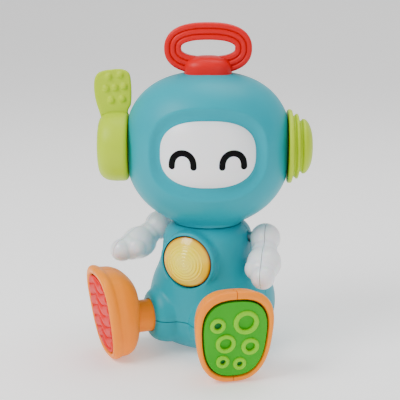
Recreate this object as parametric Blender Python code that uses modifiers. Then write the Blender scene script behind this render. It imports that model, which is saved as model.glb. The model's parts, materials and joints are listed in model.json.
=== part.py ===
"""Toy robot: an infant activity robot with a turning head, two turning ears, a press button, swinging arms and
turning feet. Metres, +Z up. The body faces -Y, the robot's left is +X, and the origin is on the flat base."""

from math import cos, pi, radians, sin, tan

import bmesh
import bpy
from mathutils import Matrix, Vector

MM = 0.001

# Driving dimensions
GAP = 0.3 * MM                      # between pieces that touch
WALL = 2.4 * MM                     # moulded shells
NECK_Z = 99.7 * MM                  # joint plane between body and head
HEAD_Z = 157.0 * MM                 # widest level of the helmet
EAR_Z = 157.5 * MM                  # axis of both ears
LEG_Z = 29.3 * MM                   # axis of both legs
SHOULDER = Vector((45.5, 6.0, 89.0)) * MM
HEAD_TURN = radians(25)             # the head looks to the robot's left
LEG_SPLAY = {1: radians(38), -1: radians(42)}   # left and right leg: how far each points to its own side
BODY_SEAM_Y = 6.0 * MM              # joint plane of the front and rear body shells
BASE_SEAM_Z = 29.3 * MM             # joint plane of the shells and the base cover

# Helmet: half-width, half-depth, height above and below its widest level, and the flats under the ears
HEAD_HALF_WIDTH = 63.0 * MM
HEAD_HALF_DEPTH = 50.0 * MM
HEAD_UP = 57.0 * MM
HEAD_DOWN = 60.0 * MM
HEAD_FLAT_X = 59.5 * MM
FACE_Z = 158.5 * MM
FACE_HALF = (34.7 * MM, 24.4 * MM)
FACE_SQUARENESS = 2.6

# Body outline by level: height, half-width, front, back
BODY_LEVELS = (
    (0.0, 37.0, -14.0, 50.0),
    (1.0, 39.0, -18.5, 52.0),
    (4.0, 41.6, -25.0, 54.0),
    (9.0, 43.8, -32.0, 56.0),
    (16.0, 45.8, -37.5, 57.5),
    (26.0, 48.0, -40.5, 58.8),
    (37.0, 48.3, -41.0, 58.5),
    (47.0, 46.2, -40.5, 55.5),
    (57.0, 42.5, -39.0, 49.5),
    (66.0, 37.8, -37.5, 43.0),
    (76.0, 34.2, -36.3, 37.5),
    (86.0, 33.2, -34.8, 35.0),
    (92.5, 32.0, -32.8, 33.0),
    (97.0, 29.0, -29.3, 29.3),
    (99.4, 25.8, -25.8, 25.8),
)
BODY_SQUARENESS = 2.2

# Press button
BUTTON_Z = 76.0 * MM

# Battery bay
CELL_R = 5.25 * MM
CELL_LENGTH = 44.5 * MM
CELL_YS = tuple(y * MM for y in (12.0, 23.0, 34.0))
BAY_X = 24.3 * MM
BAY_Y = (6.4 * MM, 39.6 * MM)
BAY_ROOF_Z = 13.8 * MM
DOOR_X = 26.0 * MM
DOOR_Y = (5.0 * MM, 41.0 * MM)
DOOR_THICK = 2.0 * MM

SPEAKER_Z = 55.0 * MM

PARTS = "toy_robot"
CUTTERS = "toy_robot_cutters"


# ---------------------------------------------------------------- helpers

def clear_scene():
    """Remove the objects a new file starts with."""
    for obj in list(bpy.data.objects):
        bpy.data.objects.remove(obj, do_unlink=True)


def make_collection(name):
    collection = bpy.data.collections.new(name)
    bpy.context.scene.collection.children.link(collection)
    return collection


def material(name, colour, roughness, metallic=0.0, transmission=0.0):
    """A Principled BSDF material with an sRGB-like linear colour."""
    made = bpy.data.materials.get(name)
    if made:
        return made
    made = bpy.data.materials.new(name)
    made.use_nodes = True
    shader = made.node_tree.nodes["Principled BSDF"]
    shader.inputs["Base Color"].default_value = (*colour, 1.0)
    shader.inputs["Roughness"].default_value = roughness
    shader.inputs["Metallic"].default_value = metallic
    shader.inputs["Transmission Weight"].default_value = transmission
    made.diffuse_color = (*colour, 1.0)
    return made


def teal():
    return material("teal_plastic", (0.0, 0.37, 0.47), 0.3)


def lime():
    return material("lime_plastic", (0.52, 0.62, 0.04), 0.35)


def red():
    return material("red_rubber", (0.8, 0.03, 0.03), 0.45)


def orange():
    return material("orange_plastic", (0.9, 0.22, 0.02), 0.35)


def pearl():
    return material("pearl_plastic", (0.85, 0.9, 0.95), 0.3, transmission=0.2)


def white():
    return material("white_plastic", (0.85, 0.85, 0.87), 0.35)


def yellow():
    return material("yellow_lens", (0.95, 0.62, 0.1), 0.15, transmission=0.4)


def green():
    return material("green_rubber", (0.05, 0.42, 0.06), 0.5)


def steel():
    return material("steel", (0.6, 0.6, 0.62), 0.3, metallic=1.0)


def board_green():
    return material("circuit_board", (0.02, 0.2, 0.05), 0.5)


def clear():
    return material("clear_led", (0.9, 0.9, 0.85), 0.1, transmission=0.8)


def battery_wrap():
    return material("battery_wrap", (0.75, 0.55, 0.1), 0.35, metallic=0.6)


def black():
    return material("black_plastic", (0.02, 0.02, 0.02), 0.4)


def place(name, mesh, collection, parent=None, look=None):
    """Link a mesh as a named object, smooth where it is round."""
    obj = bpy.data.objects.new(name, mesh)
    bpy.data.collections[collection].objects.link(obj)
    obj.parent = parent
    if look:
        mesh.materials.append(look)
    if collection == CUTTERS:
        obj.hide_render = True
        obj.display_type = "WIRE"
    else:
        mesh.shade_smooth()
        mesh.set_sharp_from_angle(angle=radians(35))
    return obj


def mesh_from(bm, name):
    mesh = bpy.data.meshes.new(name)
    bm.to_mesh(mesh)
    bm.free()
    return mesh


def pivot(name, location, rotation=(0.0, 0.0, 0.0), parent=None):
    """An empty that marks a joint's axis or a local frame."""
    empty = bpy.data.objects.new(name, None)
    empty.empty_display_size = 0.01
    bpy.data.collections[PARTS].objects.link(empty)
    empty.location = location
    empty.rotation_euler = rotation
    empty.parent = parent
    return empty


def box(name, low, high, collection=CUTTERS, parent=None, look=None, round_by=0.0):
    """A box between two corners in millimetres, its edges rounded by round_by millimetres."""
    low = Vector(low) * MM
    high = Vector(high) * MM
    bm = bmesh.new()
    bmesh.ops.create_cube(bm, size=1.0)
    bmesh.ops.scale(bm, vec=high - low, verts=bm.verts)
    bmesh.ops.translate(bm, vec=(low + high) / 2, verts=bm.verts)
    obj = place(name, mesh_from(bm, name), collection, parent, look)
    if round_by:
        bevel = obj.modifiers.new("rounded_edges", "BEVEL")
        bevel.width = round_by * MM
        bevel.segments = 2
    return obj


def rod(name, start, end, radius, collection=CUTTERS, parent=None, look=None, sides=20):
    """A cylinder from start to end, all in millimetres."""
    start = Vector(start) * MM
    end = Vector(end) * MM
    along = end - start
    bm = bmesh.new()
    bmesh.ops.create_cone(bm, cap_ends=True, segments=sides, radius1=radius * MM, radius2=radius * MM,
                          depth=along.length)
    turn = along.to_track_quat("Z", "Y").to_matrix().to_4x4()
    bmesh.ops.transform(bm, matrix=Matrix.Translation((start + end) / 2) @ turn, verts=bm.verts)
    return place(name, mesh_from(bm, name), collection, parent, look)


def turned(name, profile, closed=False, sides=28, collection=CUTTERS, parent=None, look=None, axis="Z"):
    """Turn a profile of (radius, height) points, in millimetres and from top to bottom, about an axis.

    A closed profile makes a ring. The axis "-Y" stands the turned shape's height along -Y, and "X" or "-X"
    along that axis."""
    bm = bmesh.new()
    verts = [bm.verts.new((r * MM, 0.0, z * MM)) for r, z in profile]
    for a, b in zip(verts, verts[1:]):
        bm.edges.new((a, b))
    if closed:
        bm.edges.new((verts[-1], verts[0]))
    obj = place(name, mesh_from(bm, name), collection, parent, look)
    turn = {
        "Z": Matrix.Identity(4),
        "-Y": Matrix.Rotation(radians(90), 4, "X"),
        "X": Matrix.Rotation(radians(90), 4, "Y"),
        "-X": Matrix.Rotation(radians(-90), 4, "Y"),
    }[axis]
    obj.matrix_local = turn
    screw = obj.modifiers.new("turn", "SCREW")
    screw.steps = sides
    screw.render_steps = sides
    screw.use_merge_vertices = True
    screw.merge_threshold = 0.00001
    screw.use_smooth_shade = True
    return obj


def superellipse(angle, half_width, half_height, squareness):
    """A point of a superellipse at a parameter angle."""
    c, s = cos(angle), sin(angle)
    power = 2.0 / squareness
    x = half_width * abs(c) ** power * (1 if c >= 0 else -1)
    y = half_height * abs(s) ** power * (1 if s >= 0 else -1)
    return x, y


def loft(name, rings, collection=CUTTERS, parent=None, look=None):
    """Join rings of points, all with the same count, into one closed solid with flat ends."""
    bm = bmesh.new()
    loops = [[bm.verts.new(point) for point in ring] for ring in rings]
    count = len(rings[0])
    for lower, upper in zip(loops, loops[1:]):
        for i in range(count):
            j = (i + 1) % count
            bm.faces.new((lower[i], lower[j], upper[j], upper[i]))
    bm.faces.new(list(reversed(loops[0])))
    bm.faces.new(loops[-1])
    bmesh.ops.recalc_face_normals(bm, faces=bm.faces)
    return place(name, mesh_from(bm, name), collection, parent, look)


def boolean(obj, other, operation):
    step = obj.modifiers.new(f"{operation.lower()}_{other.name}"[:60], "BOOLEAN")
    step.operation = operation
    step.solver = "EXACT"
    step.object = other
    return obj


def cut(obj, *others):
    for other in others:
        boolean(obj, other, "DIFFERENCE")
    return obj


def add(obj, *others):
    for other in others:
        boolean(obj, other, "UNION")
    return obj


def keep(obj, other):
    return boolean(obj, other, "INTERSECT")


# ---------------------------------------------------------------- body shells

def body_rings(inset, low_cap, high_cap, sides):
    """The body's outline at each level, drawn in by inset, with the levels moved in at both ends."""
    rings = []
    levels = [level for level in BODY_LEVELS if low_cap < level[0] < high_cap]
    if inset == 0:
        levels = BODY_LEVELS
    for height, half_width, front, back in levels:
        middle = (front + back) / 2 * MM
        half_depth = (back - front) / 2 * MM - inset
        ring = []
        for k in range(sides):
            x, y = superellipse(2 * pi * k / sides, half_width * MM - inset, half_depth, BODY_SQUARENESS)
            ring.append((x, middle + y, height * MM))
        rings.append(ring)
    return rings


def body_inner_rings(sides):
    """The hollow inside the body: the outline drawn in by the wall, closed under the top and above the floor."""
    rings = body_rings(WALL, 2.0, 96.0, sides)
    top = [(x, y, 96.6 * MM) for x, y, z in body_rings(WALL + 0.5 * MM, 96.5, 98.0, sides)[0]]
    floor = [(x, y, 2.6 * MM) for x, y, z in body_rings(WALL + 1.0 * MM, 3.0, 5.0, sides)[0]]
    return [floor] + rings[1:] + [top]


def leg_frame(side):
    """Local frame of a leg: its axis runs along -Y, and the origin is on the body's own axis."""
    name = "left_leg_axis" if side > 0 else "right_leg_axis"
    return pivot(name, (0.0, 0.0, LEG_Z), (0.0, 0.0, side * LEG_SPLAY[side]))


THIGH_OUTER = ((0.0, 48.5), (15.6, 48.5), (17.2, 47.9), (19.6, 45.8), (21.6, 42.0), (22.8, 36.0), (23.2, 28.0),
               (21.0, 16.0), (0.0, 14.0))
THIGH_INNER = ((0.0, 46.1), (16.4, 46.1), (18.2, 43.6), (20.0, 38.0), (20.6, 28.0), (18.0, 18.0), (0.0, 17.0))


def make_body(legs):
    outer = loft("body_outer", body_rings(0.0, -1.0, 101.0, 32))
    inner = loft("body_inner", body_inner_rings(18))
    for side, leg in legs.items():
        add(outer, turned(f"thigh_outer_{side}", THIGH_OUTER, sides=24, parent=leg, axis="-Y"))
        add(inner, turned(f"thigh_inner_{side}", THIGH_INNER, sides=14, parent=leg, axis="-Y"))
    add(outer, turned("button_boss", ((0.0, 37.0), (21.2, 37.0), (22.4, 36.0), (22.9, 22.0),
                                      (0.0, 22.0)), sides=28, axis="-Y", parent=button_frame()))
    holes = [
        rod("neck_hole", (0, 0, 90), (0, 0, 110), 14.0, sides=22),
        rod("flange_room", (0, -27.9, BUTTON_Z / MM), (0, -14, BUTTON_Z / MM), 22.5, sides=26),
        rod("button_hole", (0, -60, BUTTON_Z / MM), (0, -18, BUTTON_Z / MM), 20.15, sides=30),
    ]
    for side, leg in legs.items():
        holes.append(rod(f"socket_{side}", (0, -40, 0), (0, -60, 0), 12.9, parent=leg, sides=20))
        holes.append(rod(f"shoulder_hole_{side}", (side * 20, *SHOULDER.yz / MM), (side * 60, *SHOULDER.yz / MM),
                         4.4, sides=12))
    return outer, inner, holes


def button_frame():
    """Local frame of the press button: its axis runs along -Y from the body's own axis."""
    return bpy.data.objects.get("button_axis") or pivot("button_axis", (0.0, 0.0, BUTTON_Z))


BODY_SCREWS = ((-36.5, 50.5), (36.5, 50.5), (-27.2, 69.0), (27.2, 69.0))   # x and z; they run front to back
BASE_SCREWS = ((-40.6, 15.3), (40.6, 15.3))                                # x and y; they run upward
SCREW_HOLD = 6.0                     # plastic between a screw's head and the seam, in millimetres
POST_R = 4.4                         # radius of the posts that take the screws, in millimetres


def screw(name, tip, head, parent=None):
    """A pan-head screw between two points in millimetres; the second is the top of its head."""
    tip = Vector(tip)
    head = Vector(head)
    length = (head - tip).length
    profile = ((0.0, length), (1.9, length), (2.7, length - 0.7), (2.7, length - 1.8), (1.1, length - 1.8),
               (1.1, 1.2), (0.0, 0.0))
    made = turned(name, profile, sides=12, collection=PARTS, parent=parent, look=steel())
    made.matrix_local = (Matrix.Translation(tip * MM)
                         @ (head - tip).to_track_quat("Z", "Y").to_matrix().to_4x4())
    return made


def fill_posts(inner):
    """Leave the screw posts, the battery bay and the button's guide standing inside the hollow body."""
    for number, (x, z) in enumerate(BODY_SCREWS, 1):
        cut(inner, rod(f"body_post_{number}", (x, -60, z), (x, 70, z), POST_R, sides=14))
    for number, (x, y) in enumerate(BASE_SCREWS, 1):
        cut(inner, rod(f"base_post_{number}", (x, y, -2), (x, y, 46), POST_R, sides=14))
    cut(inner, box("bay_block", (-26.9, 4.2, -10), (26.9, 48.2, 16.0)))
    cut(inner, turned("button_guide", ((22.1, 38.5), (22.1, 27.4), (18.4, 27.4), (18.4, 38.5)), closed=True,
                      sides=28, axis="-Y", parent=button_frame()))


def make_body_shells(outer, inner, holes):
    seam = BODY_SEAM_Y / MM
    floor = BASE_SEAM_Z / MM
    half = GAP / MM / 2
    front = box("torso_front_shell", (-80, -80, floor + half), (80, seam - half, 120), PARTS, look=teal())
    rear = box("torso_rear_shell", (-80, seam + half, floor + half), (80, 80, 120), PARTS, look=teal())
    for shell in (front, rear):
        keep(shell, outer)
        cut(shell, inner)
    for number, (x, z) in enumerate(BODY_SCREWS, 1):
        cut(front, rod(f"front_pilot_{number}", (x, seam - 12, z), (x, seam + 5, z), 1.4, sides=10))
        cut(rear, rod(f"rear_counterbore_{number}", (x, seam + SCREW_HOLD, z), (x, 75, z), 3.2, sides=12))
        cut(rear, rod(f"rear_clearance_{number}", (x, seam - 2, z), (x, seam + 12, z), 1.5, sides=10))
        screw(f"body_screw_{number}", (x, seam - 9, z), (x, seam + SCREW_HOLD + 2.1, z))
    for number, (x, y) in enumerate(BASE_SCREWS, 1):
        cut(rear, rod(f"wall_pilot_{number}", (x, y, floor - 4), (x, y, floor + 12), 1.4, sides=10))
    cut(front, *holes)
    cut(rear, *holes)
    for k in range(7):
        radius = 5.0 if k < 6 else 0.0
        x = radius * cos(pi * k / 3)
        z = SPEAKER_Z / MM + radius * sin(pi * k / 3)
        cut(rear, rod(f"grille_{k}", (x, 38, z), (x, 60, z), 1.3, sides=8))
    cut(rear, box("slider_slot", (-6.6, 50, 39.3), (6.6, 62, 44.7)))


def make_base(outer, inner, holes):
    floor = BASE_SEAM_Z / MM
    base = box("base_cover", (-80, -80, -5), (80, 80, floor - GAP / MM / 2), PARTS, look=teal())
    keep(base, outer)
    cut(base, inner)
    for number, (x, y) in enumerate(BASE_SCREWS, 1):
        cut(base, rod(f"base_counterbore_{number}", (x, y, -3), (x, y, floor - SCREW_HOLD), 3.2, sides=12))
        cut(base, rod(f"base_clearance_{number}", (x, y, 10), (x, y, floor + 2), 1.5, sides=10))
        screw(f"base_screw_{number}", (x, y, floor + 9), (x, y, floor - SCREW_HOLD - 2.1))
    bay = box("bay_hollow", (-BAY_X / MM, BAY_Y[0] / MM, -3), (BAY_X / MM, BAY_Y[1] / MM, BAY_ROOF_Z / MM))
    seat = box("door_seat", (-DOOR_X / MM - 0.3, DOOR_Y[0] / MM - 0.3, -3),
               (DOOR_X / MM + 0.3, DOOR_Y[1] / MM + 0.3, DOOR_THICK / MM + 0.3))
    tab = box("door_tab_seat", (-5.3, 40, -3), (5.3, 46.3, DOOR_THICK / MM + 0.3))
    cut(base, bay, seat, tab, rod("door_pilot", (0, 43, -2), (0, 43, 11), 1.4, sides=10))
    cut(base, *[hole for hole in holes if hole.name.startswith("socket")])


def make_battery_parts():
    door = box("battery_door", (-DOOR_X / MM, DOOR_Y[0] / MM, 0), (DOOR_X / MM, DOOR_Y[1] / MM, DOOR_THICK / MM),
               PARTS, look=teal())
    add(door, box("door_tab", (-5, 40, 0), (5, 46, DOOR_THICK / MM)))
    cut(door, rod("door_hole", (0, 43, -1), (0, 43, 3), 1.5, sides=10))
    cut(door, rod("door_counterbore", (0, 43, -1), (0, 43, 0.8), 3.2, sides=12))
    profile = ((0.0, 9.8), (2.6, 9.8), (2.6, 9.2), (1.1, 9.2), (1.1, 1.0), (0.0, 0.0))
    door_screw = turned("battery_door_screw", profile, sides=12, collection=PARTS, look=steel())
    door_screw.matrix_local = (Matrix.Translation(Vector((0, 43, 9.9)) * MM) @ Matrix.Rotation(pi, 4, "X"))
    z = DOOR_THICK / MM + GAP / MM + CELL_R / MM + 0.1
    for number, y in enumerate(CELL_YS, 1):
        flip = -1 if number == 2 else 1
        r = CELL_R / MM
        end = CELL_LENGTH / MM / 2
        profile = ((0.0, end), (1.9, end), (1.9, end - 1.0), (r, end - 1.0), (r, -end), (0.0, -end))
        cell = turned(f"battery_cell_{number}", profile, sides=16, collection=PARTS, look=battery_wrap())
        cell.matrix_local = (Matrix.Translation((0.0, y, z * MM)) @ Matrix.Rotation(flip * pi / 2, 4, "Y"))
    for name, side in (("battery_contact_left", 1), ("battery_contact_right", -1)):
        box(name, (min(side * 22.8, side * 23.8), 7.0, 3.4), (max(side * 22.8, side * 23.8), 39.0, 12.6), PARTS,
            look=steel())


def face_front(obj, y, z):
    """Stand a turned shape on its side, its top towards the robot's front, at y and z in millimetres."""
    obj.matrix_local = Matrix.Translation(Vector((0.0, y, z)) * MM) @ Matrix.Rotation(radians(90), 4, "X")


def make_body_contents():
    """Circuit board with its switch and light, the speaker and the power switch's body."""
    board = box("circuit_board", (-24, -13.0, 58), (24, -11.4, 91.5), PARTS, look=board_green())
    cut(board, box("board_notch_left", (21.4, -16, 62), (30, -8, 78)))
    cut(board, box("board_notch_right", (-30, -16, 62), (-21.4, -8, 78)))
    z = BUTTON_Z / MM
    box("button_switch", (-3, -16.0, z - 3), (3, -13.3, z + 3), PARTS, look=black(), round_by=0.4)
    light = turned("chest_light", ((0.0, 5.0), (1.6, 4.4), (2.5, 2.6), (2.5, 0.0), (0.0, 0.0)), sides=12,
                   collection=PARTS, look=clear())
    face_front(light, -13.3, z + 10.5)
    speaker = turned("speaker", ((0.0, 8.0), (6.0, 8.0), (6.5, 5.0), (12.0, 2.4), (12.0, 0.0), (0.0, 0.0)),
                     sides=20, collection=PARTS, look=black())
    face_front(speaker, 38.6, SPEAKER_Z / MM)
    box("power_switch_body", (-9, 42.9, 37.5), (9, 49.9, 42.7), PARTS, look=black(), round_by=0.4)


def make_power_slider():
    frame = pivot("power_slider_axis", Vector((-3.0, 55.0, 42.0)) * MM)
    slider = box("power_slider", (-2.6, -4.0, -2.2), (2.6, 3.9, 2.2), PARTS, parent=frame, look=black(),
                 round_by=0.5)
    add(slider, box("slider_flange", (-4.4, -4.6, -3.6), (4.4, -3.3, 3.6), parent=frame))


# ---------------------------------------------------------------- press button

def make_button():
    frame = button_frame()
    lens = ((0.0, 42.6), (8.0, 42.1), (14.0, 40.4), (18.3, 37.8), (19.5, 35.4), (19.5, 27.6), (21.6, 27.6),
            (21.6, 26.0), (17.6, 26.0), (17.6, 35.0), (11.0, 38.9), (0.0, 40.2))
    turned("button_lens", lens, sides=28, collection=PARTS, parent=frame, look=yellow(), axis="-Y")
    plunger = ((0.0, 39.7), (3.6, 39.5), (8.8, 38.6), (8.8, 37.4), (3.6, 37.4), (3.6, 19.0), (0.0, 19.0))
    turned("button_plunger", plunger, sides=16, collection=PARTS, parent=frame, look=white(), axis="-Y")
    make_spring(frame)


def make_spring(frame):
    """A helix around the plunger, from the board to the plunger's collar."""
    turns = 4
    steps = 8
    low, high, radius, wire = 14.2, 36.6, 6.0, 0.55
    curve = bpy.data.curves.new("button_spring", "CURVE")
    curve.dimensions = "3D"
    curve.bevel_depth = wire * MM
    curve.bevel_resolution = 0
    curve.use_fill_caps = True
    spline = curve.splines.new("POLY")
    spline.points.add(turns * steps)
    for k, point in enumerate(spline.points):
        angle = 2 * pi * k / steps
        height = low + (high - low) * k / (turns * steps)
        point.co = (radius * cos(angle) * MM, -height * MM, radius * sin(angle) * MM, 1.0)
    curve.materials.append(steel())
    spring = bpy.data.objects.new("button_spring", curve)
    bpy.data.collections[PARTS].objects.link(spring)
    spring.parent = frame


# ---------------------------------------------------------------- head

def head_form(name, grow, sides, rings, parent):
    """The helmet's egg: a sphere with squared-off sections, cut flat under the ears."""
    bm = bmesh.new()
    bmesh.ops.create_uvsphere(bm, u_segments=sides, v_segments=rings, radius=1.0)
    half_width = HEAD_HALF_WIDTH + grow
    half_depth = HEAD_HALF_DEPTH + grow
    for vert in bm.verts:
        x, y, z = vert.co
        up = z >= 0
        squareness = 2.4 if up else 2.2
        height = (HEAD_UP if up else HEAD_DOWN) + grow
        level = abs(z) ** (2.0 / squareness) * (1 if up else -1)
        spread = max(0.0, 1.0 - abs(level) ** squareness) ** (1.0 / squareness)
        length = (x * x + y * y) ** 0.5 or 1.0
        vert.co = (x / length * spread * half_width, y / length * spread * half_depth, level * height)
    bmesh.ops.remove_doubles(bm, verts=bm.verts, dist=0.00001)
    bmesh.ops.translate(bm, vec=(0.0, 0.0, HEAD_Z), verts=bm.verts)
    form = place(name, mesh_from(bm, name), CUTTERS, parent)
    flat = (HEAD_FLAT_X + grow) / MM
    keep(form, box(f"{name}_flats", (-flat, -80, 60), (flat, 80, 240), parent=parent))
    return form


# The visor's recess from the rim inward: half-width, half-height, and how far it lies under the helmet's surface
DISH_STEPS = ((46.0, 36.8, -4.0), (42.6, 33.5, -0.8), (40.6, 31.3, 2.0), (38.4, 28.7, 4.8), (36.4, 26.3, 6.5),
              (35.3, 25.0, 6.9))
DISH_FLOOR_Y = -33.5


def helmet_front(x, z):
    """Depth of the helmet's front at a place on the face, all in millimetres."""
    rise = z - HEAD_Z / MM
    squareness = 2.4 if rise >= 0 else 2.2
    height = (HEAD_UP if rise >= 0 else HEAD_DOWN) / MM
    spread = (1.0 - (abs(rise) / height) ** squareness) ** (1.0 / squareness)
    across = x / (HEAD_HALF_WIDTH / MM * spread)
    return -HEAD_HALF_DEPTH / MM * spread * (1.0 - across * across) ** 0.5


def face_ring(half_width, half_height, sides, sunk=None, flat_y=None):
    """An outline round the face that follows the helmet's curve, or lies flat at one depth."""
    ring = []
    for k in range(sides):
        x, z = superellipse(2 * pi * k / sides, half_width, half_height, FACE_SQUARENESS)
        height = FACE_Z / MM + z
        y = helmet_front(x, height) + sunk if flat_y is None else flat_y
        ring.append((x * MM, y * MM, height * MM))
    return ring


def dish_rings(grow, sides):
    """The visor's recess, from in front of the helmet back to the face panel's seat."""
    first_width, first_height = DISH_STEPS[0][:2]
    last_width, last_height = DISH_STEPS[-1][:2]
    rings = [face_ring(first_width + grow, first_height + grow, sides, flat_y=-62.0)]
    for half_width, half_height, sunk in DISH_STEPS:
        rings.append(face_ring(half_width + grow, half_height + grow, sides, sunk=sunk + grow))
    rings.append(face_ring(last_width + grow, last_height + grow, sides, flat_y=DISH_FLOOR_Y + grow))
    return rings


HEAD_SCREWS = ((-44.0, 132.0), (44.0, 132.0))        # x and z in the head's frame


def make_head(frame):
    underside = NECK_Z / MM + 0.2
    outer = head_form("head_outer", 0.0, 32, 18, frame)
    collar = turned("neck_collar_form", ((0.0, 108.0), (24.5, 108.0), (26.0, 104.0), (26.0, 100.6),
                                         (25.4, underside), (0.0, underside)), sides=24, parent=frame)
    add(outer, collar)
    cut(outer, box("head_underside", (-70, -70, 50), (70, 70, underside), parent=frame))
    inner = head_form("head_inner", -WALL, 20, 12, frame)
    cut(inner, box("head_floor", (-70, -70, 50), (70, 70, 102.3), parent=frame))
    dish = loft("visor_dish", dish_rings(0.0, 28), parent=frame)
    cut(inner, loft("visor_wall", dish_rings(2.2, 28), parent=frame))
    window = loft("visor_window", [face_ring(32.0, 21.6, 20, flat_y=y) for y in (-38.0, -28.0)], parent=frame)
    half = GAP / MM / 2
    for number, (x, z) in enumerate(HEAD_SCREWS, 1):
        cut(inner, rod(f"head_post_{number}", (x, -45, z), (x, 60, z), POST_R, parent=frame, sides=14))
    front = box("head_front_shell", (-90, -90, 80), (90, -half, 240), PARTS, frame, teal())
    rear = box("head_rear_shell", (-90, half, 80), (90, 90, 240), PARTS, frame, teal())
    for shell in (front, rear):
        keep(shell, outer)
        cut(shell, inner)
    cut(front, dish, window)
    neck = rod("head_neck_hole", (0, 0, 95), (0, 0, 108), 13.8, parent=frame, sides=20)
    ears = rod("ear_axle_hole", (-70, 0, EAR_Z / MM), (70, 0, EAR_Z / MM), 6.4, parent=frame, sides=14)
    cut(front, neck, ears)
    cut(rear, neck, ears)
    for number, (x, z) in enumerate(HEAD_SCREWS, 1):
        cut(front, rod(f"head_pilot_{number}", (x, -12, z), (x, 4, z), 1.4, parent=frame, sides=10))
        cut(rear, rod(f"head_counterbore_{number}", (x, SCREW_HOLD, z), (x, 65, z), 3.2, parent=frame, sides=12))
        cut(rear, rod(f"head_clearance_{number}", (x, -2, z), (x, 12, z), 1.5, parent=frame, sides=10))
        screw(f"head_screw_{number}", (x, -9, z), (x, SCREW_HOLD + 2.1, z), parent=frame)
    make_face(frame)
    make_neck(frame)
    make_handle(frame)


def make_face(frame):
    """The white pillow-shaped face panel and the light board behind it."""
    half_width, half_height = (half / MM for half in FACE_HALF)
    rings = [face_ring(half_width, half_height, 28, flat_y=-33.8)]
    for share, sunk in ((1.0, 6.2), (0.97, 5.2), (0.86, 4.2), (0.66, 3.7)):
        rings.append(face_ring(half_width * share, half_height * share, 28, sunk=sunk))
    rings.append(face_ring(half_width * 0.34, half_height * 0.34, 28, flat_y=-45.9))
    loft("face_panel", rings, PARTS, frame, white())
    z = FACE_Z / MM
    box("face_light_board", (-22, -27.6, z - 12), (22, -26.0, z + 12), PARTS, frame, board_green())


def make_neck(frame):
    turned("neck_hub", ((16.6, 104.9), (16.6, 102.6), (13.5, 102.6), (13.5, 92.4), (10.0, 92.4), (10.0, 104.9)),
           closed=True, sides=18, collection=PARTS, parent=frame, look=white())
    turned("neck_retainer", ((18.0, 96.2), (18.0, 93.6), (13.8, 93.6), (13.8, 96.2)), closed=True, sides=18,
           collection=PARTS, parent=frame, look=steel())


# Carry loop: overall width and height, band width and depth, and the height of its middle
LOOP_WIDTH = 65.0
LOOP_HEIGHT = 37.6
LOOP_BAND = 12.6
LOOP_DEPTH = 10.0
LOOP_MID_Z = 231.2


def loop_rings(grow, sides, around):
    """Sections of the flat-lying band that runs round the carry loop."""
    rings = []
    half_band = LOOP_BAND / 2 + grow
    half_depth = LOOP_DEPTH / 2 + grow
    for k in range(sides):
        angle = 2 * pi * k / sides
        mid_x, mid_z = superellipse(angle, (LOOP_WIDTH - LOOP_BAND) / 2, (LOOP_HEIGHT - LOOP_BAND) / 2, 2.5)
        next_x, next_z = superellipse(angle + 0.01, (LOOP_WIDTH - LOOP_BAND) / 2, (LOOP_HEIGHT - LOOP_BAND) / 2, 2.5)
        outward = Vector((next_z - mid_z, 0.0, -(next_x - mid_x))).normalized()
        ring = []
        for j in range(around):
            across, depth = superellipse(2 * pi * j / around, half_band, half_depth, 3.2)
            point = Vector((mid_x, depth, mid_z + LOOP_MID_Z)) + outward * across
            ring.append(point * MM)
        rings.append(ring)
    return rings


def ring_solid(name, rings, collection, parent, look=None):
    """Join sections that run all the way round into one closed ring."""
    bm = bmesh.new()
    loops = [[bm.verts.new(point) for point in ring] for ring in rings]
    count = len(rings[0])
    for n, here in enumerate(loops):
        there = loops[(n + 1) % len(loops)]
        for i in range(count):
            j = (i + 1) % count
            bm.faces.new((here[i], here[j], there[j], there[i]))
    bmesh.ops.recalc_face_normals(bm, faces=bm.faces)
    return place(name, mesh_from(bm, name), collection, parent, look)


def make_handle(frame):
    clear = head_form("head_clear", GAP, 32, 18, frame)
    loop = ring_solid("carry_loop", loop_rings(0.0, 28, 10), PARTS, frame, red())
    cut(loop, clear)
    rings = []
    for z, share in ((206.0, 1.0), (216.0, 1.0), (221.0, 0.94), (224.2, 0.78), (225.8, 0.5)):
        ring = []
        for k in range(24):
            x, y = superellipse(2 * pi * k / 24, 17.8 * MM, 14.2 * MM, 2.6)
            ring.append((x * share, y * share, z * MM))
        rings.append(ring)
    mount = loft("loop_mount", rings, PARTS, frame, red())
    cut(mount, clear, ring_solid("loop_room", loop_rings(0.3, 28, 10), CUTTERS, frame))


# ---------------------------------------------------------------- ears

def make_paddle_ear(head):
    """The robot's right ear: a barrel drum with a bumpy paddle blade, on an axle with a click wheel."""
    frame = pivot("paddle_ear_axis", (0.0, 0.0, EAR_Z), parent=head)
    drum = turned("paddle_drum", ((0.0, 83.0), (14.0, 82.8), (20.0, 81.7), (23.8, 79.2), (25.8, 75.4), (26.4, 70.0),
                                  (26.4, 63.0), (24.4, 59.9), (0.0, 59.9)),
                  sides=24, collection=PARTS, parent=frame, look=lime(), axis="-X")
    slot = box("blade_slot", (-84, -2.6, 17.5), (-57, 2.6, 40), parent=frame)
    cut(drum, slot)
    cut(drum, rod("drum_bore", (-50, 0, 0), (-76, 0, 0), 5.2, parent=frame, sides=16))
    blade_parts(frame)
    ear_axle("paddle_axle", frame, 75.7, "-X")
    click_wheel("paddle_click_wheel", frame, -1)


def ear_axle(name, frame, tip, axis):
    """An ear's axle, from its tip in the ear's bore to the flange and the click wheel's seat inside the helmet."""
    profile = ((0.0, tip), (4.9, tip), (4.9, 59.6), (5.9, 59.6), (5.9, 56.8), (9.0, 56.8), (9.0, 54.4),
               (4.0, 54.4), (4.0, 48.0), (0.0, 48.0))
    turned(name, profile, sides=16, collection=PARTS, parent=frame, look=white(), axis=axis)


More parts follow.
